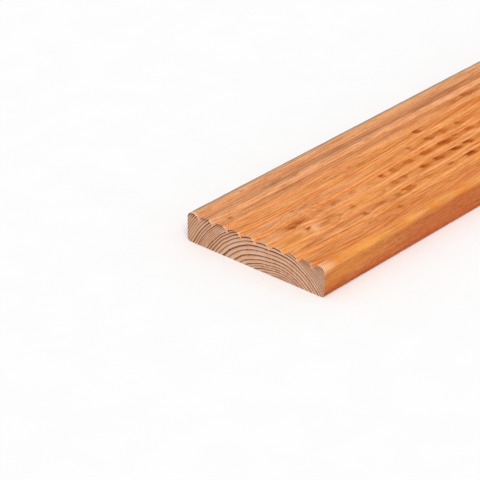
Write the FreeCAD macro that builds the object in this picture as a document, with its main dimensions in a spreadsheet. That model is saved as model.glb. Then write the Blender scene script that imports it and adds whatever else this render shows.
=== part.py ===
# Softwood decking board, sawn and planed from one piece of timber: a flat slab with rounded
# long edges and a row of shallow V grooves along its walking face.
# Frame: +X along the board, +Y across it, +Z up through its thickness. The origin is the middle
# of the underside, and the grooved face is on top.

import FreeCAD, Part
import Sketcher
import os

from FreeCAD import Vector

doc = FreeCAD.newDocument("DeckingBoard")


# Driving sizes, in millimetres

sheet = doc.addObject("Spreadsheet::Sheet", "sizes")
driving_sizes = [
    ("board_length", 2000.0, "stock length, end to end"),
    ("board_width", 145.0, "across the board, side to side"),
    ("board_thickness", 27.0, "underside to the tops of the ridges"),
    ("groove_pitch", 15.0, "middle of one groove to the middle of the next"),
    ("groove_mouth", 7.6, "width of a groove at the walking face, before rounding"),
    ("groove_floor", 1.4, "width of the flat at the bottom of a groove, before rounding"),
    ("groove_depth", 5.0, "walking face down to the bottom of a groove"),
    ("edge_ridge", 7.0, "least width of the ridge outside the last groove"),
    ("shoulder_radius", 1.5, "rounding of the ridges' shoulders"),
    ("floor_radius", 0.6, "rounding where a groove's walls meet its floor"),
    ("top_edge_radius", 5.0, "rounding of the two long edges of the walking face"),
    ("bottom_edge_radius", 4.0, "rounding of the two long edges of the underside"),
]
for row, (alias, value, meaning) in enumerate(driving_sizes, start=1):
    sheet.set(f"A{row}", alias)
    sheet.set(f"B{row}", str(value))
    sheet.set(f"C{row}", meaning)
    sheet.setAlias(f"B{row}", alias)
doc.recompute()

# The grooves are centred on the board, as many as leave the least edge ridge at each side
groove_steps = (
    "floor((sizes.board_width - 2 * sizes.edge_ridge - sizes.groove_mouth) / sizes.groove_pitch)"
)
same_place = 1e-6
volume_tolerance = 0.001


# Helpers for sketches and edges

def origin_feature(body, role):
    """The plane or axis of the body's own origin that has this role."""
    return next(f for f in body.Origin.OriginFeatures if f.Role == role)


def cross_section_sketch(body, name):
    """A sketch in the plane across the board, with its x along +Y and its y along +Z."""
    sketch = body.newObject("Sketcher::SketchObject", name)
    sketch.AttachmentSupport = [(origin_feature(body, "YZ_Plane"), "")]
    sketch.MapMode = "FlatFace"
    return sketch


def add_four_sides(sketch, corners):
    """Four straight lines from corner to corner, joined end to end; line 0 starts at corner 0."""
    points = [Vector(x, y, 0) for x, y in corners]
    for start, end in zip(points, points[1:] + points[:1]):
        sketch.addGeometry(Part.LineSegment(start, end), False)
    for line in range(4):
        sketch.addConstraint(Sketcher.Constraint("Coincident", line, 2, (line + 1) % 4, 1))


def drive(sketch, constraint, expression):
    """Adds a sizing constraint and binds it to the sheet."""
    index = sketch.addConstraint(constraint)
    sketch.setExpression(f"Constraints[{index}]", expression)


def round_long_edges(body, base, name, radius, wanted):
    """Rounds the base's edges along the board whose (y, z) the test wanted accepts."""
    edge_names = []
    for number, edge in enumerate(base.Shape.Edges, start=1):
        start, end = edge.Vertexes[0].Point, edge.Vertexes[-1].Point
        runs_along = abs(end.y - start.y) < same_place and abs(end.z - start.z) < same_place
        if runs_along and abs(end.x - start.x) > same_place and wanted(start.y, start.z):
            edge_names.append(f"Edge{number}")
    rounding = body.newObject("PartDesign::Fillet", name)
    rounding.Base = (base, edge_names)
    rounding.setExpression("Radius", radius)
    doc.recompute()
    return rounding


# The board: a slab with its long edges rounded

board = doc.addObject("PartDesign::Body", "deck_board")
board.Label = "deck_board"

slab_sketch = cross_section_sketch(board, "slab_section")
half_width = sheet.board_width / 2
add_four_sides(
    slab_sketch,
    [
        (-half_width, 0),
        (half_width, 0),
        (half_width, sheet.board_thickness),
        (-half_width, sheet.board_thickness),
    ],
)
slab_sketch.addConstraint(Sketcher.Constraint("Horizontal", 0))
slab_sketch.addConstraint(Sketcher.Constraint("Vertical", 1))
slab_sketch.addConstraint(Sketcher.Constraint("Horizontal", 2))
slab_sketch.addConstraint(Sketcher.Constraint("Vertical", 3))
slab_sketch.addConstraint(Sketcher.Constraint("PointOnObject", 0, 1, -1))
drive(slab_sketch, Sketcher.Constraint("DistanceX", 0, 1, -1, 1, half_width), "sizes.board_width / 2")
drive(slab_sketch, Sketcher.Constraint("DistanceX", 0, 1, 0, 2, 2 * half_width), "sizes.board_width")
drive(
    slab_sketch,
    Sketcher.Constraint("DistanceY", 1, 1, 1, 2, sheet.board_thickness),
    "sizes.board_thickness",
)

slab = board.newObject("PartDesign::Pad", "slab")
slab.Profile = slab_sketch
slab.SideType = "Symmetric"
slab.setExpression("Length", "sizes.board_length")
doc.recompute()

top_rounding = round_long_edges(
    board, slab, "top_edges", "sizes.top_edge_radius",
    lambda y, z: abs(z - sheet.board_thickness) < same_place,
)
edge_rounding = round_long_edges(
    board, top_rounding, "bottom_edges", "sizes.bottom_edge_radius",
    lambda y, z: abs(z) < same_place and abs(abs(y) - half_width) < same_place,
)
plain_volume = edge_rounding.Shape.Volume


# The grooves: the one nearest the left edge is cut right through, then repeated across the board

groove_sketch = cross_section_sketch(board, "groove_section")
first_groove = sheet.groove_pitch * int(
    (sheet.board_width - 2 * sheet.edge_ridge - sheet.groove_mouth) / sheet.groove_pitch
) / 2
groove_bottom = sheet.board_thickness - sheet.groove_depth
add_four_sides(
    groove_sketch,
    [
        (first_groove - sheet.groove_floor / 2, groove_bottom),
        (first_groove + sheet.groove_floor / 2, groove_bottom),
        (first_groove + sheet.groove_mouth / 2, sheet.board_thickness),
        (first_groove - sheet.groove_mouth / 2, sheet.board_thickness),
    ],
)
groove_sketch.addConstraint(Sketcher.Constraint("Horizontal", 0))
groove_sketch.addConstraint(Sketcher.Constraint("Horizontal", 2))
drive(
    groove_sketch,
    Sketcher.Constraint("DistanceY", -1, 1, 2, 1, sheet.board_thickness),
    "sizes.board_thickness",
)
drive(
    groove_sketch,
    Sketcher.Constraint("DistanceY", 0, 1, 2, 1, sheet.groove_depth),
    "sizes.groove_depth",
)
drive(
    groove_sketch,
    Sketcher.Constraint("DistanceX", 2, 2, 2, 1, sheet.groove_mouth),
    "sizes.groove_mouth",
)
drive(
    groove_sketch,
    Sketcher.Constraint("DistanceX", 0, 1, 0, 2, sheet.groove_floor),
    "sizes.groove_floor",
)
drive(
    groove_sketch,
    Sketcher.Constraint("DistanceX", -1, 1, 2, 1, first_groove + sheet.groove_mouth / 2),
    f"sizes.groove_pitch * {groove_steps} / 2 + sizes.groove_mouth / 2",
)
drive(
    groove_sketch,
    Sketcher.Constraint("DistanceX", -1, 1, 0, 2, first_groove + sheet.groove_floor / 2),
    f"sizes.groove_pitch * {groove_steps} / 2 + sizes.groove_floor / 2",
)

groove = board.newObject("PartDesign::Pocket", "groove")
groove.Profile = groove_sketch
groove.SideType = "Symmetric"
groove.setExpression("Length", "sizes.board_length")
doc.recompute()

grooves = board.newObject("PartDesign::LinearPattern", "grooves")
grooves.Originals = [groove]
grooves.Direction = (origin_feature(board, "Y_Axis"), [""])
grooves.Reversed = True
grooves.setExpression("Length", f"sizes.groove_pitch * {groove_steps}")
grooves.setExpression("Occurrences", f"{groove_steps} + 1")
board.Tip = grooves
doc.recompute()
cut_volume = plain_volume - grooves.Shape.Volume
groove_area = (sheet.groove_mouth + sheet.groove_floor) / 2 * sheet.groove_depth
expected_cut = grooves.Occurrences * groove_area * sheet.board_length
if abs(cut_volume - expected_cut) > volume_tolerance * expected_cut:
    raise RuntimeError(f"the grooves cut {cut_volume:.0f} mm3, not {expected_cut:.0f} mm3")

shoulders = round_long_edges(
    board, grooves, "shoulders", "sizes.shoulder_radius",
    lambda y, z: abs(z - sheet.board_thickness) < same_place
    and abs(y) < half_width - sheet.top_edge_radius - same_place,
)
groove_floors = round_long_edges(
    board, shoulders, "groove_floors", "sizes.floor_radius",
    lambda y, z: abs(z - groove_bottom) < same_place,
)
board.Tip = groove_floors
doc.recompute()


# Checks, then one STEP file for the board

for part in doc.Objects:
    if "Invalid" in part.State or "Error" in part.State:
        raise RuntimeError(f"{part.Label} did not recompute: {part.State}")
if board.Shape.isNull() or not board.Shape.isValid() or len(board.Shape.Solids) != 1:
    raise RuntimeError("the board isn't one valid solid")

os.makedirs("parts", exist_ok=True)
board.Shape.exportStep(f"parts/{board.Label}.step")

box = board.Shape.BoundBox
print(f"{board.Label}: {box.XLength:.1f} x {box.YLength:.1f} x {box.ZLength:.1f} mm")
print(f"grooves: {grooves.Occurrences}, volume: {board.Shape.Volume:.0f} mm3")
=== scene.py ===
import math

import bpy
import numpy as np
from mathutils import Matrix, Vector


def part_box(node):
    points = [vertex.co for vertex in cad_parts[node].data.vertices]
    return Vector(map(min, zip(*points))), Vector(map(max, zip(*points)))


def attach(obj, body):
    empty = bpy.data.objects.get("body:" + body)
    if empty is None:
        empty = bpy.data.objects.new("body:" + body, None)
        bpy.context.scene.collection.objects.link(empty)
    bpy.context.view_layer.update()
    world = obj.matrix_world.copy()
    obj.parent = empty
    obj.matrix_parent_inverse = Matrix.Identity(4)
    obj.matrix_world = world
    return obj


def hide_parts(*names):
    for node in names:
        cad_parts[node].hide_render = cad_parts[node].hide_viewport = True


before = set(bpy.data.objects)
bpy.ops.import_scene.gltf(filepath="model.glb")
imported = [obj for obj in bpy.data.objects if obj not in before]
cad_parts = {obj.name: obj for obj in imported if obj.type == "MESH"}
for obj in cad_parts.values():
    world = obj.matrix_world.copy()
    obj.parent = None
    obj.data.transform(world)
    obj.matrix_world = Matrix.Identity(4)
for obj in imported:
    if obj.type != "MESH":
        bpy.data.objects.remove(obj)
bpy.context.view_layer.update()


# The camera stands where the photograph was taken: beyond the sawn end and to the board's
# right, looking down along it with a long lens. Its view is square, 480 by 480 pixels.
picture_width = 480
focal_pixels = 2600
sensor_width = 36
pitch_down = math.radians(28.519)
yaw = math.radians(41.336)

camera = bpy.data.objects.new("camera", bpy.data.cameras.new("camera"))
camera.data.sensor_width = sensor_width
camera.data.lens = sensor_width * focal_pixels / picture_width
camera.data.clip_end = 100
camera.location = (-2.3726, -1.1920, 1.0140)
camera.rotation_euler = (math.pi / 2 - pitch_down, 0, yaw - math.pi / 2)
bpy.context.scene.collection.objects.link(camera)
bpy.context.scene.camera = camera


# The decking board is one length of planed softwood. The planer's cutters leave nine V grooves
# with rounded shoulders, rounded long edges, and a surface where the hard dark latewood stands
# a little proud. Both ends are cross-cut with a saw. Sizes here are in millimetres.
lowest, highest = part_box("deck_board")
board_length = 1000 * (highest.x - lowest.x)
board_width = 1000 * (highest.y - lowest.y)
board_thickness = 1000 * (highest.z - lowest.z)
side_y = board_width / 2
groove_count = 9
groove_pitch = 15.0
groove_mouth = 7.6
groove_floor = 1.4
groove_depth = 5.0
groove_bottom = board_thickness - groove_depth
outer_groove_y = groove_pitch * (groove_count - 1) / 2
shoulder_radius = 1.5
floor_radius = 0.6
top_edge_radius = 5.0
bottom_edge_radius = 4.0
ridge_middles = [groove_pitch * (groove_count / 2 - 1 - ridge) for ridge in range(groove_count - 1)]

# How many faces each arc and straight run of the section gets. The columns and rows count the
# faces across the board and up its sides, from the middle of one rounded edge to the next.
edge_arc = 12
edge_ridge_run = 5
ridge_run = 8
wall_run = 6
floor_run = 2
shoulder_arc = 4
floor_arc = 2
groove_columns = 2 * (shoulder_arc + wall_run + floor_arc) + floor_run
columns = edge_arc + 2 * edge_ridge_run + groove_count * groove_columns
columns += (groove_count - 1) * ridge_run
rows = 20

# The section's corners before they are rounded, from the left top edge over the grooves and
# back under the board: place across and up, radius, faces on the arc and on the run after it
corners = [(side_y, board_thickness, top_edge_radius, edge_arc, edge_ridge_run)]
for groove in range(groove_count):
    middle = groove_pitch * ((groove_count - 1) / 2 - groove)
    ridge_after = edge_ridge_run if groove == groove_count - 1 else ridge_run
    corners += [
        (middle + groove_mouth / 2, board_thickness, shoulder_radius, shoulder_arc, wall_run),
        (middle + groove_floor / 2, groove_bottom, floor_radius, floor_arc, floor_run),
        (middle - groove_floor / 2, groove_bottom, floor_radius, floor_arc, wall_run),
        (middle - groove_mouth / 2, board_thickness, shoulder_radius, shoulder_arc, ridge_after),
    ]
corners += [
    (-side_y, board_thickness, top_edge_radius, edge_arc, rows - edge_arc),
    (-side_y, 0, bottom_edge_radius, edge_arc, columns - edge_arc),
    (side_y, 0, bottom_edge_radius, edge_arc, rows - edge_arc),
]


def rounded_corner(before, corner, after, radius, pieces):
    """Points on the arc that rounds a corner between the corners before and after it."""
    before, corner, after = np.array(before), np.array(corner), np.array(after)
    back = (before - corner) / np.linalg.norm(before - corner)
    onward = (after - corner) / np.linalg.norm(after - corner)
    half_angle = math.acos(back @ onward) / 2
    inward = (back + onward) / np.linalg.norm(back + onward)
    centre = corner + inward * radius / math.sin(half_angle)
    start = corner + back * radius / math.tan(half_angle) - centre
    end = corner + onward * radius / math.tan(half_angle) - centre
    start_angle = math.atan2(start[1], start[0])
    turn = (math.atan2(end[1], end[0]) - start_angle + math.pi) % (2 * math.pi) - math.pi
    angles = start_angle + turn * np.linspace(0, 1, pieces + 1)
    return centre + radius * np.stack([np.cos(angles), np.sin(angles)], axis=1)


arcs = []
for number, (y, z, radius, arc_pieces, _) in enumerate(corners):
    before = corners[number - 1][:2]
    after = corners[(number + 1) % len(corners)][:2]
    arcs.append(rounded_corner(before, (y, z), after, radius, arc_pieces))

outline = []
for number, arc in enumerate(arcs):
    run_pieces = corners[number][-1]
    run_start = arc[-1]
    run_end = arcs[(number + 1) % len(arcs)][0]
    outline += list(arc)
    for piece in range(1, run_pieces):
        outline.append(run_start + (run_end - run_start) * piece / run_pieces)
outline = np.roll(np.array(outline), -edge_arc // 2, axis=0)
outline_count = len(outline)

# The section's outward direction at each of its points
along_outline = np.roll(outline, -1, axis=0) - np.roll(outline, 1, axis=0)
outward = np.stack([along_outline[:, 1], -along_outline[:, 0]], axis=1)
outward /= np.linalg.norm(outward, axis=1)[:, None]

# Stations along the board. They are close together where the camera stands near it, and
# closest at both ends. Between the ends a step's length depends on its place.
end_stations = [0.0, 0.4, 1.2, 2.5]
step_places = [60, 150, 400, 1100]
step_lengths = [2.6, 3.6, 5.2, 45]
least_gap = 5
stations = list(end_stations)
while stations[-1] < board_length - step_lengths[-1] - least_gap:
    stations.append(stations[-1] + float(np.interp(stations[-1], step_places, step_lengths)))
stations += [board_length - back for back in reversed(end_stations)]


def wander(x, y, z, along, across, seed, count=12):
    """A smooth uneven field of about unit size, from waves of about these lengths."""
    draw = np.random.default_rng(seed)
    total = 0
    for _ in range(count):
        direction = draw.uniform(0, 2 * math.pi)
        turn_along = draw.choice([-1, 1]) * 2 * math.pi / (along * draw.uniform(0.6, 1.8))
        turn_across = 2 * math.pi / (across * draw.uniform(0.7, 1.6))
        start = draw.uniform(0, 6.28)
        sideways = y * math.cos(direction) + z * math.sin(direction)
        total = total + np.sin(x * turn_along + sideways * turn_across + start)
    return total / math.sqrt(count / 2)


def hump(distance):
    """A smooth bump: 1 at no distance, and almost nothing at a distance of 2."""
    return np.exp(-distance * distance)


def risen(value, start, run):
    """0 up to the start, and 1 from a run past it. A negative run goes the other way."""
    return np.clip((value - start) / run, 0, 1)


def faded(distance, reach):
    """1 at no distance, falling evenly to 0 at the reach."""
    return np.clip(1 - distance / reach, 0, 1)


# The tree's heart ran below the board. Each ring here is its radius at the sawn end and how
# dark its latewood is. The rings nearest the heart are centred further to the board's right.
heart_y = -15.0
heart_z = -43.0
leaning_radius = 80.0
lean = 0.28
rings = [
    (20, 0.4), (25, 0.5), (30, 0.4), (34, 0.5), (38, 0.6), (41, 0.5), (44.2, 0.7), (46, 0.9),
    (48, 0.8), (50.4, 1), (52.1, 0.6), (54, 1), (57, 0.8), (60.5, 1.05), (64.2, 0.75),
    (67.7, 1.35), (70.7, 0.8), (73.4, 0.85), (75.8, 0.95), (77.8, 0.9), (79.6, 1.15),
    (81.1, 0.5), (82.4, 0.6), (83.8, 0.75), (85.1, 0.6), (86.5, 0.75), (88, 1.2),
    (90.3, 0.75), (92.7, 1.15), (95.3, 0.8), (97.4, 0.75), (99.2, 0.6),
]
outermost_radius = 170
ring_draw = np.random.default_rng(31)
while rings[-1][0] < outermost_radius:
    rings.append((rings[-1][0] + ring_draw.uniform(1.5, 2.2), ring_draw.uniform(0.7, 1.0)))
ring_radii = np.array([ring[0] for ring in rings], float)
ring_darkness = np.array([ring[1] for ring in rings], float)

# No ring is a true circle: how far the rings bulge, by their bearing from upright over the
# heart in degrees. They are flatter over the heart, and lie a little further in to its right.
ring_bearings = [-50, -38, -28, -15, -6, 14, 34, 50, 58]
ring_bulges = [-1.9, -0.5, 0.2, 0.9, 0.6, 0.2, 0.7, 0.4, -0.1]
flattening = 1.6
flattened_width = 18
right_side_step = 0.9
right_side_softness = 6

# On the tree's narrow side, to the board's right, the outer rings are closer together
narrow_side_y = -40
narrow_side_run = 18
narrow_side_radius = 73
narrow_side_squeeze = 0.2

# Away from the sawn end the heart strays sideways and up or down, and the rings wave
settling_length = 160
sideways_stray = 11
upward_stray = 6
fine_wave = 0.10
long_wave = 0.45

# Knots under the surface push the rings round them: place along, across and up, reach along
# and across, and push. Up and down they reach further than across.
knot_height_share = 0.6
knots = [
    (44, -8, 27, 17, 13, -2.6),
    (58, -24, 27, 13, 5, 2.2),
    (76, -72, 8, 42, 12, 2.2),
    (610, 32, 24, 34, 9, 3.4),
    (1180, -41, 22, 40, 10, -3.6),
    (1620, 12, 12, 46, 12, 4.0),
]

# Round the knots the fibres bow out: place along and across, reach along and across, and how
# far they are pushed to the board's left and to its right
bowed = [
    (61, -13, 24, 13, 7.5, 1.5), (70, -25, 8, 5, 1, 2.5), (22, -8, 14, 8, -2, 1),
    (92, -39, 9, 5, 1.6, 1.6), (610, 32, 26, 9, 4, 4), (1180, -41, 26, 9, 4, 4),
    (1620, 12, 30, 10, 4.5, 4.5),
]


def bowing(x, y):
    """How far the knots push the fibres sideways, in millimetres."""
    total = 0
    for knot_x, knot_y, reach_along, reach_across, push_left, push_right in bowed:
        off_across = (y - knot_y) / reach_across
        push = np.where(off_across > 0, push_left, push_right) * hump((x - knot_x) / reach_along)
        total = total + push * off_across * np.exp(0.5 - off_across ** 2 / 2)
    return total


def growth(x, y, z):
    """Age of the wood at points in the board, as a count of rings from the tree's heart."""
    settled = x / (x + settling_length)
    y = y - bowing(x, y)
    sideways = sideways_stray * settled * wander(x, 0, 0, along=900, across=1, seed=3, count=5)
    upward = upward_stray * settled * wander(x, 0, 0, along=700, across=1, seed=4, count=5)
    across = y - (heart_y + sideways)
    up = z - (heart_z + upward)
    outer = np.hypot(across, up)
    leaning = across + lean * leaning_radius
    inner = np.sqrt((lean * leaning) ** 2 + (1 - lean ** 2) * (leaning ** 2 + up ** 2))
    inner = (inner - lean * leaning) / (1 - lean ** 2)
    radius = np.where(inner > leaning_radius, outer, inner)
    beside_heart = y - heart_y
    radius = radius + flattening * hump(beside_heart / flattened_width)
    radius = radius + right_side_step / (1 + np.exp(beside_heart / right_side_softness))
    squeezed = narrow_side_squeeze * risen(y, narrow_side_y, -narrow_side_run)
    radius = radius + squeezed * np.clip(radius - narrow_side_radius, 0, None)
    bearing = np.degrees(np.arctan2(across, up))
    radius = radius - np.interp(bearing, ring_bearings, ring_bulges)
    radius = radius + fine_wave * wander(x, y, z, along=70, across=16, seed=5)
    radius = radius + long_wave * settled * wander(x, y, z, along=420, across=60, seed=6)
    for knot_x, knot_y, knot_z, reach_along, reach_across, push in knots:
        from_knot = np.hypot(y - knot_y, knot_height_share * (z - knot_z)) / reach_across
        radius = radius + push * hump((x - knot_x) / reach_along) * hump(from_knot)
    return np.interp(radius, ring_radii, np.arange(len(ring_radii)))


def ring_width(age):
    """How wide the rings are there, in millimetres."""
    return np.interp(age, np.arange(len(ring_radii) - 1) + 0.5, np.diff(ring_radii))


def darkness_listed(age):
    """The darkness that the list of rings gives the ring of that age."""
    return ring_darkness[np.minimum(age.astype(int) + 1, len(ring_darkness) - 1)]


def latewood_share(age):
    """The share of a ring that its latewood takes: 0.6 mm and a seventh, less in a pale ring."""
    least_share = 0.2
    most_share = 0.46
    plain_share = np.clip(0.6 / ring_width(age) + 0.14, least_share, most_share)
    return plain_share * (0.55 + 0.45 * darkness_listed(age))


def latewood_darkness(age, y):
    """How dark the latewood of each ring is. It is more even on the tree's narrow side."""
    darkest = 1.1
    even_darkness = 0.92
    even_from_ring = 15.6
    narrow_side = risen(y, -44, -14) * (age > even_from_ring)
    uneven_darkness = np.minimum(darkness_listed(age), darkest)
    return uneven_darkness * (1 - narrow_side) + even_darkness * narrow_side


# The latewood's depth of colour from a ring's outside inward: each place, in shares of the
# latewood's width, and the depth there
latewood_steps = [(0, 0.35), (0.1, 1), (0.8, 1), (1.15, 0.35), (1.8, 0.08), (3, 0)]

# Feed rollers and a dull cutter left dark bruises across the ridges: place along the board,
# place across, half length and darkness. Past the ones that show, they go on at random.
bruises = [
    (239, 22.8, 4.5, 0.75), (150, 21, 14, 0.25), (209, 6.5, 3, 0.5), (236, 6.5, 4, 0.6),
    (256, 6, 3.5, 0.45), (276, 6.5, 3.5, 0.6), (154, -7.5, 3.5, 0.65),
    (169, -7.5, 3.5, 0.42), (191, -7.5, 5, 0.45), (210, -7.5, 5, 0.55), (238, -7.5, 6, 0.75),
    (257, -7, 3.5, 0.5), (275, -7.5, 5, 0.5),
    (152, -22.5, 3.5, 0.45), (166, -22.5, 4, 0.35), (192, -22.5, 5, 0.68),
    (212, -22.5, 4.5, 0.8), (235, -21.8, 5.5, 0.95), (254, -22, 4.5, 0.8),
    (152, -37.5, 6, 0.65),
    (179, -37.5, 4, 0.3), (211, -36.5, 4.5, 0.5), (237, -36.8, 6, 0.92),
    (84, -53.5, 3.5, 0.25), (112, -49.5, 12, 0.3), (121, -53.5, 2.5, 0.45), (334, 36, 11, 0.5),
    (308, 36, 3.5, 0.35), (87, 38.5, 16, 0.18), (15, 38, 3, 0.2), (87, 52.5, 9, 0.2),
]
bruise_half_width = 3.6
shown_length = 300
unbruised_end = 10
roller_pitch = 20.5
busy_enough = 0.5
bruise_draw = np.random.default_rng(12)
for ridge_y in ridge_middles[1:]:
    bruise_x = shown_length + bruise_draw.uniform(0, roller_pitch)
    while bruise_x < board_length - unbruised_end:
        busy = math.sin(bruise_x / 130 + ridge_y / 20) + math.sin(bruise_x / 61 - ridge_y / 9)
        if busy > busy_enough:
            bruises.append((
                bruise_x + bruise_draw.uniform(-3, 3),
                ridge_y + bruise_draw.uniform(-1, 1),
                bruise_draw.uniform(3, 6),
                bruise_draw.uniform(0.3, 0.95),
            ))
        bruise_x += roller_pitch

# Pin knots show as short dark slits: place along and across, half length and width, and slope
pin_knots = [
    (43, -18.6, 4.3, 2.5, 0.6), (36, -10.6, 4, 1, 0), (49, 0.9, 3, 0.6, 0),
    (14, 38.4, 2.6, 0.8, 0),
]

# The grooved face, with all of its grooves and shoulders, lies above the first of these
# heights. The ridge tops begin at the second and are whole a little above it.
grooved_level = 20.0
ridge_level = 26.0
ridge_rise = 0.8


def bruised(x, y, z):
    """How bruised the ridge tops are, from 0 to about 1. A bruise is a slanting soft square."""
    total = np.zeros(len(x))
    for bruise_x, bruise_y, half_length, darkness in bruises:
        near = np.abs(x - bruise_x) < 4 * half_length
        off_across = (y[near] - bruise_y) / bruise_half_width
        off_along = 0.85 * (x[near] - bruise_x) / half_length + 0.35 * off_across
        distance = np.cbrt(np.abs(off_along) ** 3 + np.abs(off_across) ** 3)
        strength = darkness * (1 + 0.3 * off_across - 0.2 * off_along)
        total[near] = np.maximum(total[near], strength * np.clip(3.2 - 2.8 * distance, 0, 1))
    total *= risen(z, ridge_level, ridge_rise)
    for knot_x, knot_y, half_length, half_width, slope in pin_knots:
        off_across = y - knot_y - slope * (x - knot_x)
        slit = hump((x - knot_x) / half_length) * hump(off_across / half_width)
        total = np.maximum(total, (0.9 + slope) * slit * (z > grooved_level))
    return total


# The mesh: the outline at every station, then a grid of the same columns and rows at each end.
# Between the ends the flat underside needs only every fourth point of the outline.
underside_step = 4
underside_start = columns + rows
thinned = []
for number in range(outline_count):
    into_underside = number - underside_start
    if not 0 < into_underside < columns or into_underside % underside_step == 0:
        thinned.append(number)

points = []
at_station = []
for station in stations:
    at_end = station in (0.0, board_length)
    point_numbers = np.full(outline_count, -1)
    for number in range(outline_count) if at_end else thinned:
        point_numbers[number] = len(points)
        points.append((station, *outline[number], number))
    at_station.append(point_numbers)

# The colour map is a square of this many pixels, with the faces laid out on it in strips
map_size = 1024.0


def length_map(x):
    """Place along the colour map, half of which goes to the 500 mm nearest the camera."""
    return np.interp(x, [0, 500, board_length], [8, 510, 1016]) / map_size


# The walking face, the right side, the underside and the left side: the outline places where
# each begins and ends, and where its strip of the map does
strips = [
    (0, columns, 8, 508),
    (columns, columns + rows, 516, 581),
    (columns + rows, 2 * columns + rows, 590, 780),
    (2 * columns + rows, 2 * (columns + rows), 788, 853),
]
outline_steps = np.linalg.norm(np.roll(outline, -1, axis=0) - outline, axis=1)
round_outline = np.concatenate([[0], np.cumsum(outline_steps)])
faces = []
face_maps = []
for first, last, map_low, map_high in strips:
    across_map = np.interp(
        round_outline[first:last + 1],
        [round_outline[first], round_outline[last]],
        [map_low / map_size, map_high / map_size],
    )
    strip_places = [number for number in thinned if first <= number < last] + [last]
    for near in range(len(stations) - 1):
        far = near + 1
        near_u, far_u = length_map(stations[near]), length_map(stations[far])
        for start, stop in zip(strip_places, strip_places[1:]):
            every_place = range(start, stop + 1)
            near_run = every_place if near == 0 else (start, stop)
            far_run = every_place if far == len(stations) - 1 else (start, stop)
            point_numbers = [at_station[near][place % outline_count] for place in near_run]
            point_numbers += [at_station[far][place % outline_count] for place in far_run[::-1]]
            corner_maps = [(near_u, across_map[place - first]) for place in near_run]
            corner_maps += [(far_u, across_map[place - first]) for place in far_run[::-1]]
            faces.append([int(number) for number in point_numbers])
            face_maps.append(corner_maps)

# Each sawn end: its station, and the left, lower edge, width and height of its place on the
# map. Its grid is spread evenly between the four sides of the outline.
end_maps = [(0, 8, 862, 725, 135), (len(stations) - 1, 741, 862, 275, 51)]
top = outline[:columns + 1]
right = outline[columns:columns + rows + 1]
under = outline[columns + rows:2 * columns + rows + 1][::-1]
left = np.vstack([outline[2 * columns + rows:], outline[:1]])[::-1]
for end, map_left, map_low, map_width, map_height in end_maps:
    point_numbers = at_station[end]
    grid = np.zeros((columns + 1, rows + 1), int)
    for column in range(columns + 1):
        grid[column, 0] = point_numbers[column]
        grid[column, rows] = point_numbers[2 * columns + rows - column]
    for row in range(rows + 1):
        grid[columns, row] = point_numbers[columns + row]
        grid[0, row] = point_numbers[(outline_count - row) % outline_count]
    for column in range(1, columns):
        across = column / columns
        for row in range(1, rows):
            down = row / rows
            spot = (1 - down) * top[column] + down * under[column]
            spot = spot + (1 - across) * left[row] + across * right[row]
            spot = spot - (1 - across) * ((1 - down) * top[0] + down * under[0])
            spot = spot - across * ((1 - down) * top[columns] + down * under[columns])
            grid[column, row] = len(points)
            points.append((stations[end], *spot, -1))
    for column in range(columns):
        for row in range(rows):
            corner_numbers = [
                grid[column, row], grid[column, row + 1],
                grid[column + 1, row + 1], grid[column + 1, row],
            ]
            if end > 0:
                corner_numbers.reverse()
            faces.append([int(number) for number in corner_numbers])
            face_maps.append([
                (
                    (map_left + map_width * (0.5 - points[number][1] / board_width)) / map_size,
                    (map_low + map_height * points[number][2] / board_thickness) / map_size,
                )
                for number in corner_numbers
            ])

points = np.array(points)
x, y, z = points[:, 0], points[:, 1], points[:, 2]
outline_place = points[:, 3].astype(int)
on_outline = outline_place >= 0
on_end = (x == 0) | (x == board_length)
from_end = np.minimum(x, board_length - x)

age = growth(x, y, z)
late_share = latewood_share(age)
late_darkness = latewood_darkness(age, y)
late_places, late_depths = zip(*latewood_steps)
hard_wood = late_darkness * np.interp((1 - age % 1) / late_share, late_places, late_depths)
bruise = np.where(on_end, 0, bruised(x, y, z))

# Relief goes inward, so that the board keeps the size it was planed to. On planed faces the
# latewood stands proud of the soft earlywood, but not in the narrowest rings. Bruises are
# pressed in, and the shoulders waver.
soft_wood_depth = 0.07
narrowest_in_relief = 1.6
bruise_depth = 0.10
planing_depth = 0.03
shoulder_wear = 0.10
worn_width = 0.9
shoulder_level = 24.5
stands_proud = hard_wood.clip(0, 1) * (ring_width(age) > narrowest_in_relief)
depth = soft_wood_depth * (1 - stands_proud)
planed_unevenly = (1 + wander(x, y, z, along=30, across=6, seed=21)).clip(0)
depth += bruise_depth * bruise + planing_depth * planed_unevenly
from_groove = np.abs((y + groove_pitch / 2) % groove_pitch - groove_pitch / 2)
shoulder = hump((from_groove - groove_mouth / 2) / worn_width) * (z > shoulder_level)
depth += shoulder_wear * shoulder * (1 + wander(x, y, z, along=16, across=9, seed=22)).clip(0)

# The sawn ends' edges are broken a little. In the groove mouths the saw left torn fibres, the
# only relief that rises, and they stay below the ridges.
broken_depth = 0.28
broken_reach = 0.5
torn_reach = 2.8
lip_level = 25.6
ragged = (1 + 0.6 * wander(x, y, z, along=5, across=4, seed=23)).clip(0.2)
depth += broken_depth * ragged * faded(from_end, broken_reach)
over_grooves = np.abs(y) < outer_groove_y + groove_mouth / 2
in_groove = over_grooves & (z > grooved_level) & (z < lip_level)
torn_height = (0.8 + 0.45 * wander(x, y, z, along=2.5, across=3, seed=26)).clip(0, 1.5)
torn_height *= 0.85 + y / 200
depth -= torn_height * in_groove * faded(from_end, torn_reach)
moved_y = y - np.where(on_outline, depth * outward[outline_place, 0], 0)
moved_z = z - np.where(on_outline, depth * outward[outline_place, 1], 0)

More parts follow.
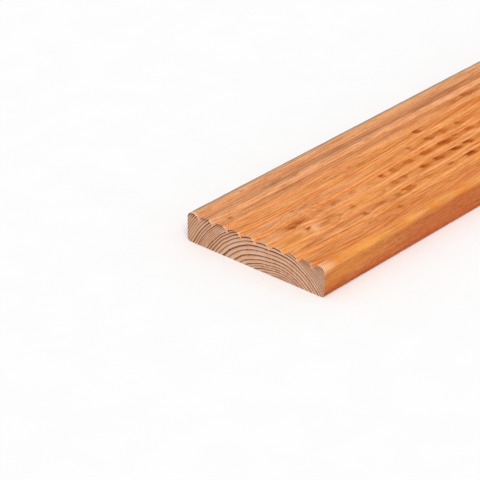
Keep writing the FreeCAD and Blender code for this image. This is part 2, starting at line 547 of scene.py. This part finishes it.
# The sawn faces carry the saw's slanting marks, softer earlywood and torn pores
end_soft_depth = 0.05
saw_mark_depth = 0.03
saw_mark_pitch = 2.3
saw_slant = math.radians(12)
pore_depth = 0.02
saw_line = y * math.sin(saw_slant) + z * math.cos(saw_slant)
saw_marks = 1 + np.sin(saw_line * 2 * math.pi / saw_mark_pitch)
end_depth = end_soft_depth * (1 - hard_wood.clip(0, 1)) + saw_mark_depth * saw_marks
end_depth += pore_depth * (1 + wander(0, y, z, along=1, across=7, seed=24)).clip(0)
moved_x = x + np.where(x == 0, 1, -1) * np.where(on_end & ~on_outline, end_depth, 0)

mesh = bpy.data.meshes.new("planed_board")
in_metres = np.stack([moved_x / 1000 + lowest.x, moved_y / 1000, moved_z / 1000], axis=1)
mesh.from_pydata(in_metres.tolist(), [], faces)
colour_map = mesh.uv_layers.new(name="OFBake")
map_places = [value for corner_maps in face_maps for spot in corner_maps for value in spot]
colour_map.data.foreach_set("uv", map_places)
board = bpy.data.objects.new("planed_board", mesh)
bpy.context.scene.collection.objects.link(board)
mesh.shade_smooth()
mesh.set_sharp_from_angle(angle=math.radians(35))


def remember(mesh, name, values):
    """Stores one number a point on the mesh, for the material to read."""
    attribute = mesh.attributes.new(name, "FLOAT", "POINT")
    attribute.data.foreach_set("value", np.asarray(values, np.float32))


def patches(x, y, places, half_width):
    """Soft patches of the surface, from 0 to 1."""
    total = np.zeros(len(x))
    for patch_x, patch_y, half_length, strength in places:
        spot = hump((x - patch_x) / half_length) * hump((y - patch_y) / half_width)
        total = np.maximum(total, strength * spot)
    return total


# The growth rings, darker on the sawn ends' crests, the sawn faces, and the bruised ridge tops
ridge_top = risen(z, ridge_level, ridge_rise) * (np.abs(y) < outer_groove_y)
sawn_crest = on_end * risen(z, 22.5, 3)
darkest_on_crest = 1.3
late_darkness = np.minimum(late_darkness * (1 + 1.4 * sawn_crest), darkest_on_crest)
remember(mesh, "growth", age)
remember(mesh, "late_share", late_share)
remember(mesh, "late_darkness", late_darkness)
remember(mesh, "bowing", bowing(x, y) / 1000)
remember(mesh, "sawn", on_end)
remember(mesh, "ridge_top", ridge_top)
remember(mesh, "bruise", bruise)

# The grain stands out more round the knots: place along and across, half length and strength
knotty = [
    (57, 0, 24, 1), (70, -27, 12, 0.7), (610, 32, 30, 1), (1180, -41, 30, 1), (1620, 12, 34, 1),
]
remember(mesh, "knotty", patches(x, y, knotty, half_width=11))

# Handling and weather have browned stretches of the ridge tops: place along and across, half
# length and strength
browned = [
    (40, -8, 13, 0.55), (64, -23.5, 9, 0.5), (235, -7.5, 60, 0.5),
    (195, -7.5, 40, 0.35), (205, -22.5, 60, 0.45), (290, -22.5, 60, 0.6), (150, -37.5, 30, 0.4),
    (275, -37.5, 50, 0.9), (260, 7.5, 45, 0.4), (255, -52.5, 40, 0.35), (300, 22.5, 60, 0.3),
    (330, 37.5, 50, 0.55), (90, -8, 8, 0.3), (300, 52.5, 80, 0.6), (88, 51.5, 16, 0.5),
]

# The right edge has golden and amber patches of resin-rich wood, and some ridges are golden.
# Near the sawn end the sides are golden too, above their lower arrises.
golden = [
    (52, -70.5, 36, 1), (110, -69.5, 16, 0.7), (147, -69, 16, 0.62), (190, -69, 22, 0.5),
    (240, -70, 26, 0.45),
]
amber = [(19, -68, 5, 1), (102, -69, 5, 0.7), (140, -68, 5, 0.6), (176, -69, 9, 0.7)]
golden_ridges = [
    (20, -22, 15, 0.6), (108, -22, 26, 0.5), (62, -22, 9, 0.4), (116, -8, 22, 0.45),
    (12, -37, 16, 0.3), (150, 8, 60, 0.2), (200, -8, 60, 0.3), (180, -37, 50, 0.25),
]

# Past the part that shows, stains and edge patches go on at random, on both long edges
stains_start = 380.0
edge_patch_count = 26
stain_draw = np.random.default_rng(44)
for ridge_y in ridge_middles:
    stain_x = stains_start
    while stain_x < board_length:
        stain_x += stain_draw.uniform(60, 200)
        stain = (stain_x, ridge_y, stain_draw.uniform(25, 70), stain_draw.uniform(0.2, 0.8))
        browned.append(stain)
for _ in range(edge_patch_count):
    patch = (
        stain_draw.uniform(shown_length, board_length),
        stain_draw.choice([-69, 70]),
        stain_draw.uniform(8, 40),
        stain_draw.uniform(0.3, 1),
    )
    if stain_draw.random() < 0.5:
        golden.append(patch)
    else:
        amber.append(patch)
side = risen(np.abs(y), 69.5, 2.5) * risen(z, 25, -4)
long_edge = risen(z, 20.5, 3)
golden_edge = patches(x, y, golden, half_width=6.5) * long_edge
golden_ridge = patches(x, y, golden_ridges, half_width=6)
golden_side = 0.45 * side * np.clip(1.3 - x / 85, 0, 1) * risen(z, 6, 6)
remember(mesh, "browned", patches(x, y, browned, half_width=7.5) * ridge_top)
remember(mesh, "golden", np.maximum(np.maximum(golden_edge, golden_ridge), golden_side))
remember(mesh, "amber", patches(x, y, amber, half_width=6) * long_edge)

# Beside the nearest knot and along three ridges the wood is pale, and at the right edge's sawn
# end a pale patch is a painted highlight
pale = [
    (46.5, -23, 4.5, 1), (36, -20, 4, 0.55), (54, -18.5, 9, 1), (60, -7, 5, 0.3),
    (83, -23, 5, 0.3), (40, 8, 50, 0.6), (105, 8, 40, 0.45), (115, -8, 34, 0.35),
    (12, -8, 12, 0.5), (5, -70, 8, 0.85),
]
remember(mesh, "pale", patches(x, y, pale, half_width=4.5) * (z > grooved_level))

# Round the knots the ridge tops are smudged golden brown. Each smudge is its place along and
# across, its half length and half width, and how dark it is.
smudges = [
    (33.5, -9.7, 5.5, 1.9, 1.15), (45, -8.8, 6, 1.6, 1.1), (40, -6.5, 13, 3.2, 0.65),
    (72, -7.5, 4, 2.8, 0.65), (87.5, -9.2, 2.4, 1.8, 0.75), (95, -8.6, 2.4, 1.8, 0.75),
    (91, -6.6, 5.5, 2.2, 0.5), (114, -7.4, 4.5, 3.2, 0.6),
    (135, -8, 4.5, 3.2, 0.4), (60, -24.8, 7, 1.8, 0.75), (66, -20.5, 9, 1.5, 0.5),
    (76, -23.5, 1.8, 1.4, 0.6), (95, -23, 3, 3.2, 0.75), (133.5, -25, 4, 1.5, 0.5),
    (20, -22.5, 12, 2.6, 0.25), (22, -38.8, 12, 1.5, 0.5), (67, -34.6, 4.5, 1.2, 0.5),
    (51, -37, 5, 0.7, 0.4), (62, -39, 8, 0.7, 0.45), (76, -38.6, 8, 0.7, 0.4),
    (92, -38.6, 3.2, 2.8, 1.1), (103, -38.6, 7, 1, 0.6), (116, -37, 9, 2, 0.75),
    (128, 21.4, 34, 1.1, 0.45),
    (215, -7.8, 14, 2.6, 0.85), (241, -7.5, 13, 2.8, 0.9), (187, -8, 10, 2.2, 0.6),
    (268, -7.8, 14, 2.2, 0.55), (168, -21.5, 12, 1.6, 0.5), (200, -22, 8, 1.8, 0.45),
    (222, -22, 12, 2, 0.35), (246, 6.5, 16, 1.8, 0.4), (160, -36, 12, 2, 0.35),
    (285, -38, 45, 3.4, 0.4),
    (135.5, -38, 3, 3.2, 0.9), (56, 8.4, 4, 1.1, 0.75), (69, 6.9, 9, 1, 0.75),
    (14, 7.5, 14, 1, 0.5), (87, 9.2, 7, 0.9, 0.55), (102, 6.4, 9, 1, 0.55),
    (88, -52.5, 3.5, 2, 0.5), (121, -53, 3, 1.6, 0.6), (14, 37.6, 3, 1.3, 0.4),
    (85, 52, 26, 1.5, 0.4), (88, 38, 20, 1.6, 0.5), (47, 38.8, 12, 0.9, 0.35),
]

# Dark fibres bow over the nearest knot, drawn as rows of short smudges: where each starts
# across the board, and how far it rises to the left
bow_middle = 62
bow_reach = 20
for start_y, rise in ((-3.5, 8.5), (5.4, 4.5)):
    for smudge_x in range(30, 98, 4):
        smudge_y = start_y + rise * hump((smudge_x - bow_middle) / bow_reach)
        smudges.append((smudge_x, smudge_y, 3, 0.65, 0.45))
smudge = np.zeros(len(x))
for smudge_x, smudge_y, half_length, half_width, darkness in smudges:
    one_smudge = patches(x, y, [(smudge_x, smudge_y, half_length, darkness)], half_width)
    smudge = np.maximum(smudge, one_smudge)
remember(mesh, "smudge", smudge * ridge_top)

# The left of the board is weathered, its right ridge is warmer, and the colour deepens away
# from the sawn end
remember(mesh, "weathered", risen(y, 24, 26))
remember(mesh, "left_edge", risen(y, 53, 7))
remember(mesh, "warm_edge", risen(y, -50, -9))
remember(mesh, "deeper", risen(x, 0, 330) * (0.75 + 0.25 * np.sin(x / 170)))

# Both sides and the underside are plainer. The sides are redder further along, and low down as
# painted shade. The right lower arris has a painted highlight, and the left side's top painted
# shade.
underside = 0.7 * risen(z, 1.4, -1.2)
far_side = 0.75 * risen(x, 65, 50)
remember(mesh, "side", np.maximum(side, underside))
remember(mesh, "redder_and_painted_shade", side * np.maximum(risen(z, 10, -5), far_side))
remember(mesh, "painted_highlight_arris", hump((z - 1.3) / 0.8) * risen(x, 80, 50) * (y < -66))
remember(mesh, "painted_shade_left_edge", risen(y, 66.5, 2.2) * risen(z, 18, 7))

# The sawn ends are darker at their crests, more to the left, and in one mark on the near end.
# At both ends the groove mouths are frayed pale, and the right edge's ridge gets a painted
# highlight.
crest_strength = np.clip(0.3 + y / 160, 0.05, 0.7)
darkened_crest = on_end * risen(z, 24.8, 1.5) * crest_strength
end_mark = 0.95 * (x == 0) * hump((y + 21.8) / 1.6) * hump((z - 14.2) / 0.9)
remember(mesh, "darkened_crest", np.maximum(darkened_crest, end_mark))
# The right edge's ridge is lightened near the ends as a painted highlight
fray_and_highlight_strength = np.clip(0.7 + y / 160, 0.35, 1) + 0.4 * hump((y + 66) / 4)
off_ridges = (z > grooved_level) * (1 - ridge_top)
remember(mesh, "frayed_and_highlight", faded(from_end - 0.4, 3.0) * fray_and_highlight_strength * off_ridges)


# Its material is made from the same growth rings throughout: they are lines on the sawn ends
# and long flames and streaks on the planed faces. Colours are written as they look, 0 to 255.

def colour(red, green, blue):
    """A colour as a socket takes it, from its value as seen on a screen."""
    given = []
    for value in (red / 255, green / 255, blue / 255):
        given.append(value / 12.92 if value < 0.04045 else ((value + 0.055) / 1.055) ** 2.4)
    return given + [1]


def put(tree, kind, feeds, settings=None, output=0):
    """Adds a node and gives one of its outputs. A feed is a number, a colour or an output."""
    made = tree.nodes.new(kind)
    for name, value in (settings or {}).items():
        setattr(made, name, value)
    for name, feed in feeds.items():
        if isinstance(feed, bpy.types.NodeSocket):
            tree.links.new(feed, made.inputs[name])
        else:
            made.inputs[name].default_value = feed
    return made.outputs[output] if made.outputs else None


def calculate(tree, operation, *feeds):
    """Adds a Math node."""
    return put(tree, "ShaderNodeMath", dict(enumerate(feeds)), {"operation": operation})


def times(tree, first, second):
    """Multiplies two numbers or outputs."""
    return calculate(tree, "MULTIPLY", first, second)


def mixed(tree, share, first, second):
    """Adds a colour mix: none of the second colour where the share is 0."""
    feeds = {0: share, 6: first, 7: second}
    return put(tree, "ShaderNodeMix", feeds, {"data_type": "RGBA"}, 2)


def ranged(tree, value, low, high, to_low=0.0, to_high=1.0):
    """Adds a Map Range node, which turns low to to_low and high to to_high."""
    feeds = {0: value, 1: low, 2: high, 3: to_low, 4: to_high}
    return put(tree, "ShaderNodeMapRange", feeds)


def remembered(tree, name):
    """Reads what the mesh stores at its points."""
    return put(tree, "ShaderNodeAttribute", {}, {"attribute_name": name}, "Fac")


def tinted(tree, wood, name, strength, tint):
    """Mixes a tint into the wood where the mesh remembers it."""
    return mixed(tree, times(tree, remembered(tree, name), strength), wood, tint)


def noise(tree, spot, along, across, detail=3.0):
    """Adds noise with features of these lengths in millimetres, along and across the board."""
    per_metre = (1000 / along, 1000 / across, 1000 / across)
    scaled = put(tree, "ShaderNodeMapping", {"Vector": spot, "Scale": per_metre})
    return put(tree, "ShaderNodeTexNoise", {"Vector": scaled, "Scale": 1.0, "Detail": detail})


def grain(tree, along, across, detail=3.0):
    """Adds noise that follows the fibres where they bow round the knots."""
    spot = put(tree, "ShaderNodeTexCoord", {}, output="Object")
    pushed = put(tree, "ShaderNodeCombineXYZ", {"Y": remembered(tree, "bowing")})
    spot = put(tree, "ShaderNodeVectorMath", {0: spot, 1: pushed}, {"operation": "SUBTRACT"})
    return noise(tree, spot, along, across, detail)


timber = bpy.data.materials.new("planed_softwood")
timber.use_nodes = True
tree = timber.node_tree
tree.nodes.clear()

# Rings: from the outside of each ring inward comes its dark latewood, then its pale earlywood
uneven = ranged(tree, grain(tree, 30, 2.5), 0, 1, -0.08, 0.08)
ring_age = calculate(tree, "ADD", remembered(tree, "growth"), uneven)
from_outside = calculate(tree, "SUBTRACT", 1.0, calculate(tree, "FRACT", ring_age))
from_outside = calculate(tree, "DIVIDE", from_outside, remembered(tree, "late_share"))
last_place = latewood_steps[-1][0]
ring_ramp = tree.nodes.new("ShaderNodeValToRGB")
tree.links.new(calculate(tree, "DIVIDE", from_outside, last_place), ring_ramp.inputs[0])
ramp_steps = ring_ramp.color_ramp.elements
while len(ramp_steps) < len(latewood_steps):
    ramp_steps.new(1)
for number, (late_place, late_depth) in enumerate(latewood_steps):
    ramp_steps[number].position = late_place / last_place
    ramp_steps[number].color = (late_depth, late_depth, late_depth, 1)
late = times(tree, ring_ramp.outputs[0], remembered(tree, "late_darkness"))

# The grain's own patterns, from broad bands down to single fibres and dark dashes
broad = ranged(tree, grain(tree, 260, 9), 0.35, 0.65)
light_streak = ranged(tree, grain(tree, 110, 2.6), 0.42, 0.66, 0.0, 0.35)
dark_streak = ranged(tree, grain(tree, 60, 1.7), 0.46, 0.64)
fibre = ranged(tree, grain(tree, 14, 0.9, 2.0), 0.4, 0.64)
dash = ranged(tree, grain(tree, 18, 0.9, 1.0), 0.64, 0.74, 0.0, 0.5)
ridge = remembered(tree, "ridge_top")
weathered = remembered(tree, "weathered")
deeper = remembered(tree, "deeper")
on_side = remembered(tree, "side")

# Earlywood: paler in the grooves, deeper on the ridge tops away from the end, plain on the side
groove_wood = mixed(tree, broad, colour(255, 195, 127), colour(255, 183, 107))
groove_wood = mixed(tree, times(tree, weathered, 0.5), groove_wood, colour(255, 214, 174))
near_top = mixed(tree, weathered, colour(255, 184, 114), colour(242, 186, 138))
far_top = mixed(tree, weathered, colour(252, 160, 78), colour(238, 168, 116))
ridge_wood = mixed(tree, deeper, near_top, far_top)
ridge_wood = mixed(tree, times(tree, broad, 0.3), ridge_wood, colour(228, 138, 72))
ruddy = ranged(tree, grain(tree, 46, 5), 0.5, 0.68, 0.0, 0.45)
ridge_wood = mixed(tree, ruddy, ridge_wood, colour(232, 126, 58))
side_wood = mixed(tree, broad, colour(244, 148, 84), colour(236, 134, 76))
early = mixed(tree, ridge, groove_wood, ridge_wood)
early = tinted(tree, early, "warm_edge", 0.4, colour(212, 103, 33))
early = tinted(tree, early, "left_edge", 0.3, colour(190, 120, 70))
early = mixed(tree, on_side, early, side_wood)
early = mixed(tree, light_streak, early, colour(254, 190, 130))

# Latewood lines. They fade in the grooves away from the end, and are fainter on weathered
# wood and on the side.
late_wood = mixed(tree, ridge, colour(208, 114, 54), colour(186, 88, 30))
wall_lines = ranged(tree, deeper, 0, 1, 0.62, 0.3)
line_share = times(tree, late, ranged(tree, ridge, 0, 1, wall_lines, 0.52))
line_share = times(tree, line_share, ranged(tree, weathered, 0, 1, 1.0, 0.7))
calmer = ranged(tree, on_side, 0, 1, 1.0, 0.45)
line_share = times(tree, line_share, calmer)
planed = mixed(tree, line_share, early, late_wood)

# Streaks and fibres, stronger round the knots, and grey streaks on weathered ridge tops
knotted = ranged(tree, remembered(tree, "knotty"), 0, 1, 1.0, 2.0)
streak_share = times(tree, dark_streak, ranged(tree, ridge, 0, 1, 0.12, 0.27))
streak_share = times(tree, streak_share, knotted)
planed = mixed(tree, streak_share, planed, colour(194, 94, 30))
fibre_share = times(tree, fibre, ranged(tree, ridge, 0, 1, 0.16, 0.27))
fibre_share = times(tree, fibre_share, knotted)
planed = mixed(tree, fibre_share, planed, colour(182, 86, 26))
grey_streak = ranged(tree, grain(tree, 95, 2.4), 0.42, 0.64, 0.1, 0.6)
grey_streak = times(tree, grey_streak, times(tree, weathered, ridge))
planed = mixed(tree, grey_streak, planed, colour(146, 100, 68))

# The finest dark and pale fibres, specks of pores, more of them on the side, and dark dashes
fine = grain(tree, 34, 0.9, 1.0)
dark_fine = times(tree, ranged(tree, fine, 0.5, 0.72, 0.0, 0.4), calmer)
pale_fine = times(tree, ranged(tree, fine, 0.46, 0.26, 0.0, 0.34), calmer)
planed = mixed(tree, dark_fine, planed, colour(160, 74, 30))
planed = mixed(tree, pale_fine, planed, colour(255, 206, 150))
speck = ranged(tree, grain(tree, 1.8, 0.9, 1.0), 0.5, 0.72, 0.0, 0.2)
planed = mixed(tree, speck, planed, colour(168, 78, 32))
side_speck = ranged(tree, grain(tree, 4.5, 0.8, 2.0), 0.42, 0.62, 0.0, 0.3)
planed = mixed(tree, times(tree, side_speck, on_side), planed, colour(156, 66, 36))
planed = mixed(tree, dash, planed, colour(118, 50, 16))

# Where the wood itself is golden, amber or pale, the sides redder, and painted light on the edges
planed = tinted(tree, planed, "golden", 0.65, colour(251, 165, 72))
planed = tinted(tree, planed, "amber", 0.6, colour(234, 126, 44))
# Redder low on the sides as painted shade, and redder further along
planed = tinted(tree, planed, "redder_and_painted_shade", 0.4, colour(190, 74, 42))
# A painted highlight on the right lower arris
planed = tinted(tree, planed, "painted_highlight_arris", 0.5, colour(240, 164, 130))
# Pale wood, and a painted highlight at the right edge's sawn end
planed = tinted(tree, planed, "pale", 0.75, colour(255, 196, 144))
# Painted shade at the top of the left edge
planed = tinted(tree, planed, "painted_shade_left_edge", 0.7, colour(150, 108, 76))

# Browned stretches, smudges and bruises, with uneven edges. A bruise has a rubbed border and
# a dark middle. All of them are greyer where the board is weathered.
brown_edge = ranged(tree, grain(tree, 16, 2.4), 0.3, 0.7, -0.4, 0.4)
brown_seen = calculate(tree, "ADD", remembered(tree, "browned"), brown_edge)
brown = mixed(tree, weathered, colour(196, 108, 32), colour(172, 108, 70))
planed = mixed(tree, ranged(tree, brown_seen, 0.15, 1.0, 0.0, 0.8), planed, brown)
smudge_edge = ranged(tree, grain(tree, 6, 1.5), 0.3, 0.7, -0.22, 0.22)
smudge_seen = calculate(tree, "ADD", remembered(tree, "smudge"), smudge_edge)
smudge_brown = mixed(tree, weathered, colour(158, 74, 16), colour(150, 86, 54))
planed = mixed(tree, ranged(tree, smudge_seen, 0.08, 0.95, 0.0, 0.9), planed, smudge_brown)
bruise_edge = ranged(tree, grain(tree, 7, 1.3), 0.3, 0.7, -0.3, 0.26)
bruise_seen = calculate(tree, "ADD", remembered(tree, "bruise"), bruise_edge)
rubbed_brown = mixed(tree, weathered, colour(186, 88, 24), colour(160, 96, 62))
planed = mixed(tree, ranged(tree, bruise_seen, 0.12, 0.6, 0.0, 0.9), planed, rubbed_brown)
bruise_brown = mixed(tree, weathered, colour(108, 44, 4), colour(112, 58, 36))
planed = mixed(tree, ranged(tree, bruise_seen, 0.62, 1.2, 0.0, 0.92), planed, bruise_brown)

# Pale frayed fibres at the groove mouths, and a painted highlight on the right edge's ridge
fray_patches = ranged(tree, grain(tree, 2.5, 1.2), 0.3, 0.6, 0.65, 0.95)
fray_and_highlight = times(tree, remembered(tree, "frayed_and_highlight"), fray_patches)
planed = mixed(tree, fray_and_highlight, planed, colour(255, 204, 168))

# Sawn ends: tan wood with dark rings, open pores and darker crests
cloudy = ranged(tree, grain(tree, 50, 10), 0.4, 0.6)
sawn_wood = mixed(tree, cloudy, colour(250, 206, 176), colour(246, 192, 154))
sawn_wood = mixed(tree, times(tree, weathered, 0.22), sawn_wood, colour(204, 148, 104))
sawn_wood = mixed(tree, times(tree, late, 0.88), sawn_wood, colour(118, 54, 26))
pore = ranged(tree, grain(tree, 1, 0.7, 2.0), 0.35, 0.65, 0.0, 0.3)
sawn_wood = mixed(tree, pore, sawn_wood, colour(148, 98, 70))
crest_darkening = ranged(tree, grain(tree, 1, 1.6, 2.0), 0.35, 0.6, 0.25, 1.0)
crest_darkening = times(tree, remembered(tree, "darkened_crest"), crest_darkening)
sawn_wood = mixed(tree, crest_darkening, sawn_wood, colour(98, 48, 24))
sawn = remembered(tree, "sawn")
wood_colour = mixed(tree, sawn, planed, sawn_wood)

# Latewood is a little smoother, sawn wood rougher, and the fibres and streaks catch the light
rough = ranged(tree, late, 0, 1, 0.62, 0.50)
rough = calculate(tree, "ADD", rough, ranged(tree, fibre, 0, 1, -0.06, 0.06))
rough = calculate(tree, "ADD", rough, times(tree, sawn, 0.25))
height = calculate(tree, "ADD", times(tree, late, 0.05), times(tree, fibre, 0.05))
height = calculate(tree, "ADD", height, times(tree, dark_streak, -0.05))
relief = put(tree, "ShaderNodeBump", {"Height": height, "Distance": 0.001, "Strength": 0.8})
surface = put(tree, "ShaderNodeBsdfPrincipled", {
    "Base Color": wood_colour,
    "Roughness": rough,
    "Normal": relief,
    "Specular IOR Level": 0.03,
})
put(tree, "ShaderNodeOutputMaterial", {"Surface": surface})
mesh.materials.append(timber)

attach(board, "root")
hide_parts("deck_board")


# The studio: a wide matt pale floor, one large soft lamp high on the board's sawn-end side,
# and an even pale room. The camera sees the floor and the room a shade paler than the board
# does, so that they don't brighten it.
floor_half = 12.0
floor_mesh = bpy.data.meshes.new("studio_floor")
floor_mesh.from_pydata(
    [(-floor_half, -floor_half, 0), (floor_half, -floor_half, 0),
     (floor_half, floor_half, 0), (-floor_half, floor_half, 0)],
    [], [(0, 1, 2, 3)],
)
floor = bpy.data.objects.new("studio_floor", floor_mesh)
bpy.context.scene.collection.objects.link(floor)

floor_paint = bpy.data.materials.new("pale_floor_paint")
floor_paint.use_nodes = True
tree = floor_paint.node_tree
tree.nodes.clear()
seen_by_camera = put(tree, "ShaderNodeLightPath", {}, output="Is Camera Ray")
floor_spot = put(tree, "ShaderNodeTexCoord", {}, output="Object")
mottle = ranged(tree, noise(tree, floor_spot, 40, 40), 0.3, 0.7)
seen_paint = mixed(tree, mottle, (0.985, 0.985, 0.985, 1), (1, 1, 1, 1))
lighting_paint = mixed(tree, mottle, (0.60, 0.60, 0.60, 1), (0.62, 0.62, 0.62, 1))
floor_colour = mixed(tree, seen_by_camera, lighting_paint, seen_paint)
floor_relief = put(tree, "ShaderNodeBump", {"Height": mottle, "Distance": 0.0001, "Strength": 0.1})
surface = put(tree, "ShaderNodeBsdfPrincipled", {
    "Base Color": floor_colour,
    "Roughness": ranged(tree, mottle, 0, 1, 0.85, 0.95),
    "Normal": floor_relief,
    "Specular IOR Level": 0.0,
})
put(tree, "ShaderNodeOutputMaterial", {"Surface": surface})
floor_mesh.materials.append(floor_paint)

lamp_height = math.radians(48)
lamp_side = math.radians(-138)
lamp = bpy.data.objects.new("soft_lamp", bpy.data.lights.new("soft_lamp", "SUN"))
lamp.data.energy = 1.75
lamp.data.angle = math.radians(28)
lamp.rotation_euler = (math.pi / 2 - lamp_height, 0, lamp_side + math.pi / 2)
bpy.context.scene.collection.objects.link(lamp)

room = bpy.data.worlds.new("pale_room")
room.use_nodes = True
bpy.context.scene.world = room
tree = room.node_tree
tree.nodes.clear()
path = tree.nodes.new("ShaderNodeLightPath")
seen = calculate(tree, "MAXIMUM", path.outputs["Is Camera Ray"], path.outputs["Is Glossy Ray"])
seen = calculate(tree, "MAXIMUM", seen, path.outputs["Is Transmission Ray"])
strength = ranged(tree, seen, 0, 1, 0.58, 1.0)
air = put(tree, "ShaderNodeBackground", {"Color": (1, 1, 1, 1), "Strength": strength})
put(tree, "ShaderNodeOutputWorld", {"Surface": air})

bpy.context.scene.view_settings.view_transform = "Standard"
